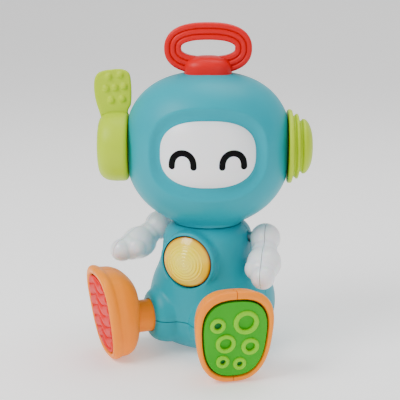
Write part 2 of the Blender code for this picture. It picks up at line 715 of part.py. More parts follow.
def click_wheel(name, frame, side):
    """A toothed wheel on an ear's axle that clicks as the ear turns."""
    teeth = 12
    rings = []
    for x in (49.0, 52.6):
        ring = []
        for k in range(teeth * 2):
            radius = 9.5 if k % 2 else 8.2
            angle = pi * k / teeth
            ring.append((side * x * MM, radius * cos(angle) * MM, radius * sin(angle) * MM))
        rings.append(ring)
    wheel = loft(name, rings, PARTS, frame, white())
    cut(wheel, rod(f"{name}_bore", (side * 45, 0, 0), (side * 56, 0, 0), 4.3, parent=frame, sides=16))


# The blade's bumps: along the ear's axis, and out from it
BLADE_BUMPS = ((-73.9, 52.6), (-65.4, 54.0), (-76.0, 43.8), (-69.3, 44.5), (-62.6, 45.5), (-72.2, 35.2),
               (-63.9, 36.2))


def blade_parts(frame):
    outline = ((-79.6, 18.4), (-81.6, 26.0), (-84.2, 35.0), (-85.2, 44.0), (-84.2, 52.0), (-81.2, 55.6),
               (-76.0, 57.2), (-66.0, 58.2), (-60.6, 56.6), (-57.8, 52.6), (-57.2, 44.0), (-57.8, 32.0), (-60.2, 27.0),
               (-60.6, 18.4))
    rings = []
    for y, drawn in ((-2.2, 0.5), (-1.6, 0.0), (1.6, 0.0), (2.2, 0.5)):
        ring = []
        for x, z in outline:
            toward = Vector((-71.0 - x, 0.0, 38.0 - z)).normalized() * drawn
            ring.append(((x + toward.x) * MM, y * MM, (z + toward.z) * MM))
        rings.append(ring)
    blade = loft("paddle_blade", rings, PARTS, frame, lime())
    for number, (x, z) in enumerate(BLADE_BUMPS, 1):
        bump = turned(f"bump_{number}", ((0.0, 4.1), (1.7, 3.7), (2.7, 2.8), (2.9, 1.2), (0.0, 1.2)), sides=10,
                      parent=frame, axis="-Y")
        bump.location = (x * MM, 0.0, z * MM)
        add(blade, bump)


def make_ridged_ear(head):
    """The robot's left ear: a stepped cap of three rings with a domed end, on an axle with a click wheel."""
    frame = pivot("ridged_ear_axis", (0.0, 0.0, EAR_Z), parent=head)
    cap = turned("ridged_cap", ((0.0, 79.0), (10.0, 78.5), (17.0, 76.2), (20.5, 73.0), (20.6, 71.2), (19.2, 69.8),
                                (20.2, 68.5), (24.4, 67.9), (24.6, 66.2), (22.8, 64.9), (23.6, 63.7), (27.6, 63.1),
                                (27.9, 60.4), (27.2, 59.9), (0.0, 59.9)),
                 sides=24, collection=PARTS, parent=frame, look=lime(), axis="X")
    cut(cap, rod("cap_bore", (50, 0, 0), (74, 0, 0), 5.2, parent=frame, sides=16))
    ear_axle("ridged_axle", frame, 73.7, "X")
    click_wheel("ridged_click_wheel", frame, 1)


# ---------------------------------------------------------------- arms

# Rounded lobes of one arm, in its own frame with the arm along -Y: centre, half-sizes
ARM_LOBES = (
    ((0.0, 0.0, 0.0), (11.6, 11.6, 11.6)),
    ((1.0, -21.0, -8.0), (13.0, 15.0, 12.8)),
    ((2.2, -37.0, -9.0), (9.0, 9.6, 9.0)),
    ((-4.6, -28.0, -8.0), (8.0, 8.8, 8.2)),
)
ARM_POSE = {1: (radians(13), radians(20)), -1: (radians(22), radians(9))}   # splay, drop below level


def lobe(name, centre, halves, parent, sides=14, rings=9):
    bm = bmesh.new()
    bmesh.ops.create_uvsphere(bm, u_segments=sides, v_segments=rings, radius=1.0)
    bmesh.ops.scale(bm, vec=Vector(halves) * MM, verts=bm.verts)
    bmesh.ops.translate(bm, vec=Vector(centre) * MM, verts=bm.verts)
    return place(name, mesh_from(bm, name), CUTTERS, parent)


def make_arm(side):
    """One arm: an inner and an outer half-shell that meet on a plane along the arm, and an axle."""
    word = "left" if side > 0 else "right"
    splay, drop = ARM_POSE[side]
    shoulder = pivot(f"{word}_arm_axis", (side * SHOULDER.x, SHOULDER.y, SHOULDER.z), (drop, 0.0, 0.0))
    frame = pivot(f"{word}_arm_frame", (0.0, 0.0, 0.0), (0.0, 0.0, side * splay), parent=shoulder)
    lobes = [lobe(f"{word}_lobe_{n}", (side * x, y, z), halves, frame)
             for n, ((x, y, z), halves) in enumerate(ARM_LOBES, 1)]
    form = lobes[0]
    add(form, *lobes[1:])
    (x, y, z), halves = ARM_LOBES[1]
    hollow = lobe(f"{word}_hollow", (side * x, y, z), [h - 2.2 for h in halves], frame, 10, 6)
    for half_name, near, far in (("inner", 1.35, -60.0), ("outer", 1.65, 60.0)):
        low, high = sorted((side * near, side * far))
        shell = box(f"{word}_arm_{half_name}_shell", (low, -80, -40), (high, 40, 40), PARTS, frame, pearl())
        keep(shell, form)
        cut(shell, hollow, rod(f"{word}_axle_room", (-side * 30, 0, 0), (side * 3.2, 0, 0), 4.3, parent=shoulder,
                               sides=16))
    start = SHOULDER.x / MM
    profile = ((0.0, start + 2.5), (4.0, start + 2.5), (4.0, 25.0), (5.2, 25.0), (5.2, 23.4), (0.0, 23.4))
    axle = turned(f"{word}_shoulder_axle", profile, sides=16, collection=PARTS, look=steel(),
                  axis="X" if side > 0 else "-X")
    axle.location = (0.0, SHOULDER.y, SHOULDER.z)


# ---------------------------------------------------------------- feet

SHOE_HALF_WIDTH = 27.8
SHOE_HALF_HEIGHT = 35.6
SHOE_MID = 6.7                       # the shoe's middle above the leg's axis
SHOE_SQUARENESS = 2.7
SHOE_TILT = radians(8)               # the sole leans forward at the top
SHOE_TAPER = 0.12                    # wider at the top
# Shoe sections from the heel stub out to the sole: distance, share of full size, share of the tilt
SHOE_SECTIONS = (
    (60.6, 0.40, 0.0), (61.6, 0.56, 0.1), (64.0, 0.74, 0.25), (68.0, 0.875, 0.5), (72.5, 0.935, 0.75),
    (77.0, 0.94, 1.0), (79.2, 0.955, 1.0), (80.6, 0.985, 1.0), (83.0, 1.0, 1.0), (85.4, 0.985, 1.0),
    (86.6, 0.945, 1.0),
)


def shoe_outline(share, distance, tilt_share, sides):
    """One section of a shoe in its leg's frame, in metres."""
    ring = []
    lean = tan(SHOE_TILT * tilt_share)
    for k in range(sides):
        x, z = superellipse(2 * pi * k / sides, SHOE_HALF_WIDTH * share, SHOE_HALF_HEIGHT * share, SHOE_SQUARENESS)
        x *= 1.0 + SHOE_TAPER * z / SHOE_HALF_HEIGHT
        rise = SHOE_MID * min(1.0, 0.2 + share * 0.8) + z
        ring.append((x * MM, -(distance + lean * rise) * MM, rise * MM))
    return ring


def make_foot(leg, side, pad_look):
    word = "left" if side > 0 else "right"
    sides = 24
    form = loft(f"{word}_shoe_form", [shoe_outline(s, d, t, sides) for d, s, t in SHOE_SECTIONS], parent=leg)
    hollow = loft(f"{word}_shoe_hollow", [shoe_outline(s, d, t, 16) for d, s, t in
                                          ((63.4, 0.5, 0.1), (67.0, 0.72, 0.4), (71.0, 0.84, 0.75),
                                           (79.0, 0.86, 1.0))], parent=leg)
    seat = loft(f"{word}_pad_seat", [shoe_outline(0.835, d, 1.0, sides) for d in (81.2, 92.0)], parent=leg)
    bore = rod(f"{word}_stub_room", (0, -55, 0), (0, -66, 0), 12.7, parent=leg, sides=18)
    for half_name, low, high in (("inner", -60, -0.15), ("outer", 0.15, 60)):
        if side < 0:
            low, high = -high, -low
        half = box(f"{word}_shoe_{half_name}_half", (low, -100, -40), (high, -40, 60), PARTS, leg, orange())
        keep(half, form)
        cut(half, hollow, seat, bore)
    loft(f"{word}_sole_pad", [shoe_outline(0.815, 81.5, 1.0, sides), shoe_outline(0.815, 86.4, 1.0, sides),
                              shoe_outline(0.79, 87.3, 1.0, sides)], PARTS, leg, pad_look)
    turned(f"{word}_ankle_stub", ((12.4, 65.6), (12.4, 42.8), (9.8, 42.8), (9.8, 65.6)), closed=True, sides=18,
           collection=PARTS, parent=leg, look=orange(), axis="-Y")
    turned(f"{word}_ankle_ring", ((15.4, 45.7), (15.4, 43.2), (12.7, 43.2), (12.7, 45.7)), closed=True, sides=18,
           collection=PARTS, parent=leg, look=steel(), axis="-Y")


# ---------------------------------------------------------------- assembly

def main():
    clear_scene()
    make_collection(PARTS)
    make_collection(CUTTERS)
    legs = {side: leg_frame(side) for side in (1, -1)}
    outer, inner, holes = make_body(legs)
    fill_posts(inner)
    make_body_shells(outer, inner, holes)
    make_base(outer, inner, holes)
    make_battery_parts()
    make_body_contents()
    make_power_slider()
    make_button()
    head = pivot("head_axis", (0.0, 0.0, 0.0), (0.0, 0.0, HEAD_TURN))
    make_head(head)
    make_paddle_ear(head)
    make_ridged_ear(head)
    for side in (1, -1):
        make_arm(side)
    make_foot(legs[1], 1, green())
    make_foot(legs[-1], -1, red())


main()
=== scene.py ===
"""Looks for the toy robot: smooth moulded shells, soft-touch soles, printed eyes and studio light.

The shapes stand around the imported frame. Each is drawn in millimetres in its own part's frame, and that
frame's matrix places it in metres.
"""

import json
from math import atan2, cos, pi, radians, sin, tan

import bmesh
import bpy
import numpy as np
from mathutils import Matrix, Vector


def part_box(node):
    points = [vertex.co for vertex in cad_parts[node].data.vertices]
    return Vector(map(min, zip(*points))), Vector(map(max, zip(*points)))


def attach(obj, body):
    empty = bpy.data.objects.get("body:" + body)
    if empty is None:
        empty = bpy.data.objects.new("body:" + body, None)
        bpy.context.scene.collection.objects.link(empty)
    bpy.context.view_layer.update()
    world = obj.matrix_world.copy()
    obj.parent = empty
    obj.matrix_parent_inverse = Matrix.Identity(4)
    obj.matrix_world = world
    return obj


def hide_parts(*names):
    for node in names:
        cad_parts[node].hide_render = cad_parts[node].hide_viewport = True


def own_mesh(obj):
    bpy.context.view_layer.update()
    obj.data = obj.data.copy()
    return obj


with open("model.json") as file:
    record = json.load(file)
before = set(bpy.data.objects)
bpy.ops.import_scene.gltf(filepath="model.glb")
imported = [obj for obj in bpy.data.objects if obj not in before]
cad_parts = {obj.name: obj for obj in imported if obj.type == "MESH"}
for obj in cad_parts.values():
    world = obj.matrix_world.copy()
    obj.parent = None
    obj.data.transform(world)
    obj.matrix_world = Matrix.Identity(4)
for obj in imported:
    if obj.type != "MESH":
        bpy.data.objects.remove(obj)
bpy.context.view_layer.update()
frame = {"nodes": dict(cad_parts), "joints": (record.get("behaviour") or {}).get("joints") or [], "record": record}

MM = 0.001
JOINTS = {joint["name"]: joint for joint in frame["joints"]}


# ---------------------------------------------------------------- frames, from the joints

def about_z(direction, like):
    """The turn about Z that carries one flat direction onto another."""
    return atan2(direction[1], direction[0]) - atan2(like[1], like[0])


EAR = JOINTS["ridged_ear_spin"]
HEAD = Matrix.Rotation(about_z(EAR["axis"], (1, 0)), 4, "Z")
EAR_Z = EAR["pos_m"][2] / MM
EARS = HEAD @ Matrix.Translation((0, 0, EAR_Z * MM))
LEG_Z = JOINTS["left_foot_twist"]["pos_m"][2] / MM
LEG = {
    side: Matrix.Translation((0, 0, LEG_Z * MM))
    @ Matrix.Rotation(about_z(JOINTS[f"{word}_foot_twist"]["axis"], (0, -1)), 4, "Z")
    for side, word in ((1, "left"), (-1, "right"))
}
ARM_SPLAY = {1: radians(13), -1: radians(22)}
ARM_DROP = {1: radians(20), -1: radians(9)}
SHOULDER = {
    side: Vector(JOINTS[f"{word}_arm_swing"]["pos_m"])
    for side, word in ((1, "left"), (-1, "right"))
}
ARM = {
    side: Matrix.Translation(SHOULDER[side]) @ Matrix.Rotation(ARM_DROP[side], 4, "X")
    @ Matrix.Rotation(side * ARM_SPLAY[side], 4, "Z")
    for side in (1, -1)
}
SHOULDER_YZ = tuple(value / MM for value in SHOULDER[1].yz)
WORLD = Matrix.Identity(4)
BUTTON_Z = (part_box("button_lens")[0].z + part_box("button_lens")[1].z) / 2 / MM
BUTTON = Matrix.Translation((0, 0, BUTTON_Z * MM))
BASE_SEAM_Z = LEG_Z
BODY_SEAM_Y = 6.0


# ---------------------------------------------------------------- mesh helpers

def smax(a, b, k):
    """The larger of two values, rounded where they meet."""
    h = max(k - abs(a - b), 0.0) / k
    return max(a, b) + h * h * k / 4


def smin(a, b, k):
    return -smax(-a, -b, k)


def superellipse(angle, half_width, half_height, squareness):
    c, s = cos(angle), sin(angle)
    power = 2.0 / squareness
    return (half_width * abs(c) ** power * (1 if c >= 0 else -1),
            half_height * abs(s) ** power * (1 if s >= 0 else -1))


def curve_through(points, steps):
    """A smooth curve of steps spans through each stretch between points."""
    points = [np.array(p, float) for p in points]
    ends = [2 * points[0] - points[1]] + points + [2 * points[-1] - points[-2]]
    out = []
    for a, b, c, d in zip(ends, ends[1:], ends[2:], ends[3:]):
        for k in range(steps):
            t = k / steps
            out.append(0.5 * (2 * b + (c - a) * t + (2 * a - 5 * b + 4 * c - d) * t * t
                              + (3 * b - a - 3 * c + d) * t ** 3))
    return out + [points[-1]]


def link(name, mesh):
    obj = bpy.data.objects.new(name, mesh)
    bpy.context.scene.collection.objects.link(obj)
    return obj


def skin(name, rows, matrix=WORLD, around=True, through=False, caps=True):
    """A surface over rows of points in millimetres.

    Around closes each row, through joins the last row to the first, and caps fills the two ends.
    """
    bm = bmesh.new()
    grid = [[bm.verts.new(matrix @ (Vector(point) * MM)) for point in row] for row in rows]
    count = len(rows[0])
    pairs = list(zip(grid, grid[1:])) + ([(grid[-1], grid[0])] if through else [])
    for low, high in pairs:
        for i in range(count if around else count - 1):
            j = (i + 1) % count
            bm.faces.new((low[i], low[j], high[j], high[i]))
    if caps and around and not through:
        bm.faces.new(list(reversed(grid[0])))
        bm.faces.new(grid[-1])
    bmesh.ops.remove_doubles(bm, verts=bm.verts, dist=0.000002)
    bmesh.ops.recalc_face_normals(bm, faces=bm.faces)
    mesh = bpy.data.meshes.new(name)
    bm.to_mesh(mesh)
    bm.free()
    mesh.shade_smooth()
    return link(name, mesh)


AXES = {
    "Z": Matrix.Identity(4),
    "-Y": Matrix.Rotation(radians(90), 4, "X"),
    "X": Matrix.Rotation(radians(90), 4, "Y"),
    "-X": Matrix.Rotation(radians(-90), 4, "Y"),
}


def lathe(name, profile, matrix=WORLD, axis="Z", steps=96, closed=False):
    """Turn (radius, height) points about an axis."""
    rows = []
    for radius, height in profile:
        radius = max(radius, 0.02)
        rows.append([(radius * cos(2 * pi * k / steps), radius * sin(2 * pi * k / steps), height)
                     for k in range(steps)])
    return skin(name, rows, matrix @ AXES[axis], through=closed)


def apply(obj):
    """Bake an object's modifiers into its mesh."""
    graph = bpy.context.evaluated_depsgraph_get()
    made = bpy.data.meshes.new_from_object(obj.evaluated_get(graph))
    old = obj.data
    obj.modifiers.clear()
    obj.data = made
    bpy.data.meshes.remove(old)
    obj.data.shade_smooth()
    return obj


def discard(*objects):
    for obj in objects:
        bpy.data.objects.remove(obj, do_unlink=True)


def block(low, high, matrix=WORLD):
    """A plain box used only to cut with."""
    (x0, y0, z0), (x1, y1, z1) = low, high
    return skin("cutter", [[(x0, y0, z), (x1, y0, z), (x1, y1, z), (x0, y1, z)] for z in (z0, z1)], matrix)


def bar(start, end, radius, matrix=WORLD, steps=64):
    """A cylinder used only to cut with."""
    start, end = Vector(start), Vector(end)
    turn = (end - start).to_track_quat("Z", "Y").to_matrix().to_4x4()
    turn.translation = start * MM
    return lathe("cutter", ((radius, 0.0), (radius, (end - start).length)), matrix @ turn, steps=steps)


def carve(obj, *cutters, operation="DIFFERENCE"):
    for cutter in cutters:
        step = obj.modifiers.new("carve", "BOOLEAN")
        step.operation = operation
        step.solver = "EXACT"
        step.object = cutter
    apply(obj)
    discard(*cutters)
    return obj


def fuse(name, parts, voxel, rounds, strength=0.5):
    """Melt parts into one soft form: a fine remesh, then rounds of smoothing that blend where they meet."""
    bm = bmesh.new()
    for part in parts:
        bm.from_mesh(part.data)
    mesh = bpy.data.meshes.new(name)
    bm.to_mesh(mesh)
    bm.free()
    discard(*parts)
    obj = link(name, mesh)
    melt = obj.modifiers.new("melt", "REMESH")
    melt.mode = "VOXEL"
    melt.voxel_size = voxel * MM
    soften = obj.modifiers.new("soften", "SMOOTH")
    soften.iterations = rounds
    soften.factor = strength
    return apply(obj)


def thicken(obj, depth):
    """Give a skin its wall, inward."""
    wall = obj.modifiers.new("wall", "SOLIDIFY")
    wall.thickness = depth * MM
    wall.offset = -1.0
    wall.use_even_offset = False
    return apply(obj)


def clone(obj, name):
    return link(name, obj.data.copy())


def finish_piece(obj, body, look, slot, *nodes):
    """Colour a piece, hang it on its body and let it stand for its CAD nodes."""
    obj.data.materials.clear()
    obj.data.materials.append(look)
    obj.data.set_sharp_from_angle(angle=radians(42))
    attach(obj, body)
    if nodes:
        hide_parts(*nodes)
    return obj


# ---------------------------------------------------------------- materials

def linear(rgb):
    """An sRGB colour, 0 to 255, as Blender's linear values."""
    return tuple(((v / 255 + 0.055) / 1.055) ** 2.4 if v > 10 else v / 255 / 12.92 for v in rgb) + (1.0,)


class Look:
    """A Principled material with a few node shortcuts."""

    def __init__(self, name, roughness=0.35, **sockets):
        self.material = bpy.data.materials.new(name)
        self.material.use_nodes = True
        self.nodes = self.material.node_tree.nodes
        self.links = self.material.node_tree.links
        self.shader = self.nodes["Principled BSDF"]
        self.shader.inputs["Roughness"].default_value = roughness
        for socket, value in sockets.items():
            self.shader.inputs[socket.replace("_", " ")].default_value = value
        self.place = self.nodes.new("ShaderNodeTexCoord")

    def noise(self, scale, detail=3.0):
        node = self.nodes.new("ShaderNodeTexNoise")
        node.inputs["Scale"].default_value = scale
        node.inputs["Detail"].default_value = detail
        self.links.new(self.place.outputs["Object"], node.inputs["Vector"])
        return node.outputs["Fac"]

    def ramp(self, source, *stops):
        node = self.nodes.new("ShaderNodeValToRGB")
        ramp = node.color_ramp
        while len(ramp.elements) < len(stops):
            ramp.elements.new(0.5)
        for element, (position, colour) in zip(ramp.elements, stops):
            element.position = position
            element.color = colour
        self.links.new(source, node.inputs["Fac"])
        return node.outputs["Color"]

    def bump(self, source, strength, distance):
        node = self.nodes.new("ShaderNodeBump")
        node.inputs["Strength"].default_value = strength
        node.inputs["Distance"].default_value = distance
        self.links.new(source, node.inputs["Height"])
        self.links.new(node.outputs["Normal"], self.shader.inputs["Normal"])

    def colour(self, source):
        self.links.new(source, self.shader.inputs["Base Color"])

    def rough(self, source, low, high):
        node = self.nodes.new("ShaderNodeMapRange")
        node.inputs["To Min"].default_value = low
        node.inputs["To Max"].default_value = high
        self.links.new(source, node.inputs["Value"])
        self.links.new(node.outputs["Result"], self.shader.inputs["Roughness"])


def moulded(name, colour, darker, roughness, grain=0.04, **sockets):
    """Moulded plastic: a faint flow pattern in the colour, a fine surface grain and uneven gloss."""
    look = Look(name, roughness, **sockets)
    flow = look.noise(22.0, 2.0)
    look.colour(look.ramp(flow, (0.3, linear(darker)), (0.7, linear(colour))))
    look.bump(look.noise(1400.0, 2.0), grain, 0.0002)
    look.rough(look.noise(60.0, 3.0), roughness - 0.05, roughness + 0.06)
    return look.material


LENS_RADIUS = 19.5


def make_lens_painted_light_look():
    """Clear yellow lens: pale at its middle as a painted highlight, yellow in a ring and burnt orange at its edge
    as painted shade.
    """
    look = Look("lens_yellow", 0.22, Coat_Weight=0.25, Coat_Roughness=0.08, IOR=1.49)
    split = look.nodes.new("ShaderNodeSeparateXYZ")
    look.links.new(look.place.outputs["Object"], split.inputs["Vector"])
    terms = []
    for axis, middle in (("X", 0.0), ("Z", BUTTON_Z * MM)):
        away = look.nodes.new("ShaderNodeMath")
        away.operation = "SUBTRACT"
        away.inputs[1].default_value = middle
        look.links.new(split.outputs[axis], away.inputs[0])
        square = look.nodes.new("ShaderNodeMath")
        square.operation = "MULTIPLY"
        look.links.new(away.outputs["Value"], square.inputs[0])
        look.links.new(away.outputs["Value"], square.inputs[1])
        terms.append(square.outputs["Value"])
    total = look.nodes.new("ShaderNodeMath")
    total.operation = "ADD"
    look.links.new(terms[0], total.inputs[0])
    look.links.new(terms[1], total.inputs[1])
    root = look.nodes.new("ShaderNodeMath")
    root.operation = "SQRT"
    look.links.new(total.outputs["Value"], root.inputs[0])
    share = look.nodes.new("ShaderNodeMath")
    share.operation = "DIVIDE"
    share.inputs[1].default_value = LENS_RADIUS * MM
    look.links.new(root.outputs["Value"], share.inputs[0])
    # Painted light by distance from the lens's middle: a pale painted highlight inside, a burnt orange painted
    # shade at the rim.
    stops = ((0.0, (255, 240, 90)), (0.45, (255, 236, 30)), (0.62, (255, 228, 0)), (0.9, (254, 206, 0)),
             (0.99, (150, 70, 0)))
    look.colour(look.ramp(share.outputs["Value"], *[(place, linear(rgb)) for place, rgb in stops]))
    return look.material


TEAL = moulded("teal_body", (0, 158, 174), (0, 151, 167), 0.4, Specular_IOR_Level=0.22)
LIME = moulded("lime_ear", (182, 210, 0), (174, 202, 0), 0.42, Specular_IOR_Level=0.25)
RED = moulded("red_loop", (214, 0, 8), (204, 0, 6), 0.42, Specular_IOR_Level=0.25)
RED_SOLE = moulded("red_sole", (228, 4, 8), (216, 2, 6), 0.5, grain=0.05, Specular_IOR_Level=0.2)
ORANGE = moulded("orange_shoe", (255, 146, 0), (253, 137, 0), 0.38, Specular_IOR_Level=0.25)
PEARL = moulded("pearl_arm", (250, 251, 255), (243, 246, 251), 0.3,
                Subsurface_Weight=0.35, Subsurface_Scale=0.004, Coat_Weight=0.4, Coat_Roughness=0.15)
FACE = moulded("face_white", (250, 250, 253), (246, 247, 251), 0.32,
               Subsurface_Weight=0.3, Subsurface_Scale=0.004)
GREEN_SOLE = moulded("green_sole", (52, 168, 10), (42, 158, 8), 0.5, grain=0.05, Specular_IOR_Level=0.2)
# Painted shade: a darker green for the floors of the small wells in the left sole.
GREEN_WELL_SHADE = moulded("green_well_painted_shade", (0, 116, 40), (0, 104, 34), 0.55, grain=0.08, Specular_IOR_Level=0.3)
RING_LIME = moulded("ring_lime", (130, 206, 6), (120, 198, 4), 0.5, grain=0.05, Specular_IOR_Level=0.2)
PRINT = moulded("eye_print", (4, 4, 5), (1, 1, 2), 0.6, Specular_IOR_Level=0.1)
DARK = moulded("dark_plastic", (40, 42, 44), (30, 32, 34), 0.45)
LENS = make_lens_painted_light_look()


def metal_look(name, colour):
    look = Look(name, 0.3, Metallic=1.0)
    darker = [v * 0.85 for v in colour]
    look.colour(look.ramp(look.noise(300.0), (0.3, linear(colour)), (0.7, linear(darker))))
    look.bump(look.noise(900.0), 0.1, 0.0001)
    return look.material


STEEL = metal_look("bright_steel", (190, 190, 195))
BOARD = moulded("board_green", (30, 100, 60), (24, 84, 50), 0.45)
WRAP = moulded("cell_wrap", (205, 170, 60), (190, 150, 50), 0.3)


# ---------------------------------------------------------------- head

HEAD_MID = 157.0
HEAD_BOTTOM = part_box("head_front_shell")[0].z / MM
HEAD_UP, HEAD_DOWN = 57.0, 60.0
HEAD_HALF_WIDTH, HEAD_HALF_DEPTH = 63.0, 50.0
CROWN_SQUARE, JAW_SQUARE = 2.4, 2.2
EAR_FLAT_X = 59.5
SEAM_HALF = 0.05
SCREW_HOLE = 3.2
FACE_Z = 158.5
SQUARE = 2.6
# Visor recess from the rim inward: half-width, half-height, depth under the helmet's surface
DISH = curve_through(((44.6, 35.2, 0.0), (43.0, 33.8, 0.15), (41.8, 32.5, 1.2), (40.2, 30.8, 2.9),
                      (38.4, 28.7, 5.0), (36.6, 26.6, 6.4), (35.3, 25.0, 6.9)), 4)


def helmet_radii(z):
    """Half-width and half-depth of the helmet at a height."""
    up = z >= HEAD_MID
    squareness = CROWN_SQUARE if up else JAW_SQUARE
    level = min(1.0, abs(z - HEAD_MID) / (HEAD_UP if up else HEAD_DOWN))
    spread = (1.0 - level ** squareness) ** (1.0 / squareness)
    collar = 26.0 * min(1.0, max(0.0, (114.0 - z) / 6.0))
    return smax(HEAD_HALF_WIDTH * spread, collar, 5.0), smax(HEAD_HALF_DEPTH * spread, collar, 5.0)


def helmet_front(x, z):
    half_width, half_depth = helmet_radii(z)
    return -half_depth * max(0.0, 1.0 - (x / half_width) ** 2) ** 0.5


def spread_of(x, z, half_width, half_height):
    """Where a place on the face lies against an outline round it: 1 is on the outline, less is inside."""
    return ((abs(x) / half_width) ** SQUARE + (abs(z - FACE_Z) / half_height) ** SQUARE) ** (1.0 / SQUARE)


def sunk(x, z):
    """How far the visor's recess lies under the helmet's surface at a place on the face."""
    if spread_of(x, z, *DISH[0][:2]) >= 1.0:
        return 0.0
    if spread_of(x, z, *DISH[-1][:2]) <= 1.0:
        return DISH[-1][2]
    for outer, inner in zip(DISH, DISH[1:]):
        beyond = spread_of(x, z, *inner[:2]) - 1.0
        if beyond >= 0.0:
            within = 1.0 - spread_of(x, z, *outer[:2])
            share = within / (within + beyond)
            return outer[2] + (inner[2] - outer[2]) * share
    return DISH[-1][2]


def helmet_rows(front, columns, levels):
    """Levels of one half of the helmet, front or rear, up to the seam between them."""
    rows = []
    first, last = (pi, 2 * pi) if front else (0.0, pi)
    middle = (HEAD_MID + HEAD_UP + HEAD_BOTTOM) / 2
    for n in range(levels + 1):
        turn = pi * n / levels
        z = middle - (middle - HEAD_BOTTOM) * cos(turn)
        half_width, half_depth = helmet_radii(z)
        row = []
        for k in range(columns + 1):
            angle = first + (last - first) * k / columns
            x = half_width * cos(angle)
            y = half_depth * sin(angle)
            if front:
                y = min(y + sunk(x, z), -SEAM_HALF)
            else:
                y = max(y, SEAM_HALF)
            x = smin(abs(x), EAR_FLAT_X, 1.2) * (1 if x >= 0 else -1)
            row.append((x, y, z))
        rows.append(row)
    return rows


def make_head():
    for front, node in ((True, "head_front_shell"), (False, "head_rear_shell")):
        name = "helmet_front" if front else "helmet_rear"
        shell = skin(name, helmet_rows(front, 190, 170), HEAD, around=False)
        thicken(shell, 2.2)
        if not front:
            for side in (-1, 1):
                carve(shell, bar((side * 44, 5, 132), (side * 44, 60, 132), SCREW_HOLE, HEAD))
        finish_piece(shell, "head", TEAL, "teal_plastic", node)


FACE_HALF = (34.7, 24.4)


def face_front(x, z):
    """Depth of the face panel's pillowed front."""
    reach = min(1.0, spread_of(x, z, *FACE_HALF))
    return helmet_front(x, z) + 3.6 + 2.6 * reach ** 5


def outline_of(share, count=120):
    """The face panel's outline, at a share of its size."""
    return [superellipse(2 * pi * k / count, FACE_HALF[0] * share, FACE_HALF[1] * share, SQUARE)
            for k in range(count)]


def make_face():
    rows = [[(x, -34.0, FACE_Z + z) for x, z in outline_of(1.0)]]
    for n in range(40):
        share = cos(pi / 2 * n / 40) ** 0.75
        rows.append([(x, face_front(x, FACE_Z + z), FACE_Z + z) for x, z in outline_of(share)])
    panel = skin("face_window", rows, HEAD)
    finish_piece(panel, "head", FACE, "white_plastic", "face_panel")
    for side in (-1, 1):
        make_eye(side)


EYE_X, EYE_TOP, EYE_FOOT, EYE_HALF = 18.2, 2.0, -8.2, 7.9
EYE_STROKE = 2.3
EYE_PROUD = 0.12


def eye_row(middle, across):
    """Nine points across the eye's band."""
    return [middle + across * (EYE_STROKE * w / 4) for w in range(-4, 5)]


def round_end(tip, beside, flip):
    """Rows that close the band with a half circle beyond its tip."""
    ahead = (tip - beside).normalized()
    across = Vector((-ahead.z, 0.0, ahead.x)).normalized() * flip
    rows = []
    for m in range(1, 6):
        lean = pi / 2 * m / 5
        rows.append([tip + ahead * (EYE_STROKE * sin(lean)) + across * (EYE_STROKE * cos(lean) * w / 4)
                     for w in range(-4, 5)])
    return rows


def make_eye(side):
    """One printed eye: an arched band with round ends that lies on the curved panel."""
    spine = []
    for k in range(33):
        angle = pi * k / 32
        rise = EYE_FOOT + (EYE_TOP - EYE_FOOT) * sin(angle) ** 0.8
        spine.append(Vector((side * EYE_X - EYE_HALF * cos(angle), 0.0, rise)))
    rows = []
    for n, here in enumerate(spine):
        ahead = spine[min(n + 1, len(spine) - 1)] - spine[max(n - 1, 0)]
        rows.append(eye_row(here, Vector((-ahead.z, 0.0, ahead.x)).normalized()))
    rows = round_end(spine[0], spine[1], -1)[::-1] + rows + round_end(spine[-1], spine[-2], 1)
    for row in rows:
        for point in row:
            point.z += FACE_Z
            point.y = face_front(point.x, point.z) - EYE_PROUD
    eye = skin("eye_left" if side > 0 else "eye_right", rows, HEAD, around=False)
    ink = eye.modifiers.new("ink", "SOLIDIFY")
    ink.thickness = 0.1 * MM
    apply(eye)
    finish_piece(eye, "head", PRINT, "black_plastic")


LOOP_WIDTH, LOOP_HEIGHT, LOOP_BAND, LOOP_MID = 65.0, 37.6, 12.6, 231.2


def loop_line(angle):
    """The middle of the loop's band, across and up from the loop's own centre."""
    return superellipse(angle, (LOOP_WIDTH - LOOP_BAND) / 2, (LOOP_HEIGHT - LOOP_BAND) / 2, 2.5)


def make_loop():
    """The carry loop: a flat band of three rounded ribs that run side by side."""
    rows = []
    count = 180
    for k in range(count):
        angle = 2 * pi * k / count
        mid_x, mid_z = loop_line(angle)
        next_x, next_z = loop_line(angle + 0.004)
        outward = Vector((next_z - mid_z, 0.0, -(next_x - mid_x))).normalized()
        row = []
        for across, depth in rib_outline():
            point = Vector((mid_x, depth, LOOP_MID + mid_z)) + outward * across
            level = 1 - (abs(point.x) / HEAD_HALF_WIDTH) ** CROWN_SQUARE
            head_top = HEAD_MID + HEAD_UP * level ** (1 / CROWN_SQUARE)
            point.z = max(point.z, head_top - 0.6)
            row.append(point)
        rows.append(row)
    loop = skin("ribbed_loop", rows, HEAD, through=True)
    finish_piece(loop, "head", RED, "red_rubber", "carry_loop")


def rib_outline():
    """Cross-section of the loop's band: three round ribs on both faces."""
    pitch = LOOP_BAND / 3
    edge = LOOP_BAND / 2 * 0.998
    top = []
    for rib in (-1, 0, 1):
        for k in range(10):
            lean = pi * (k + 0.5) / 10
            top.append((rib * pitch - pitch / 2 * cos(lean), 2.9 + 2.1 * sin(lean) ** 0.8))
    points = top + [(edge, y) for y in (2.2, 0.0, -2.2)]
    points += [(-x, -y) for x, y in top]
    points += [(-edge, y) for y in (-2.2, 0.0, 2.2)]
    return points


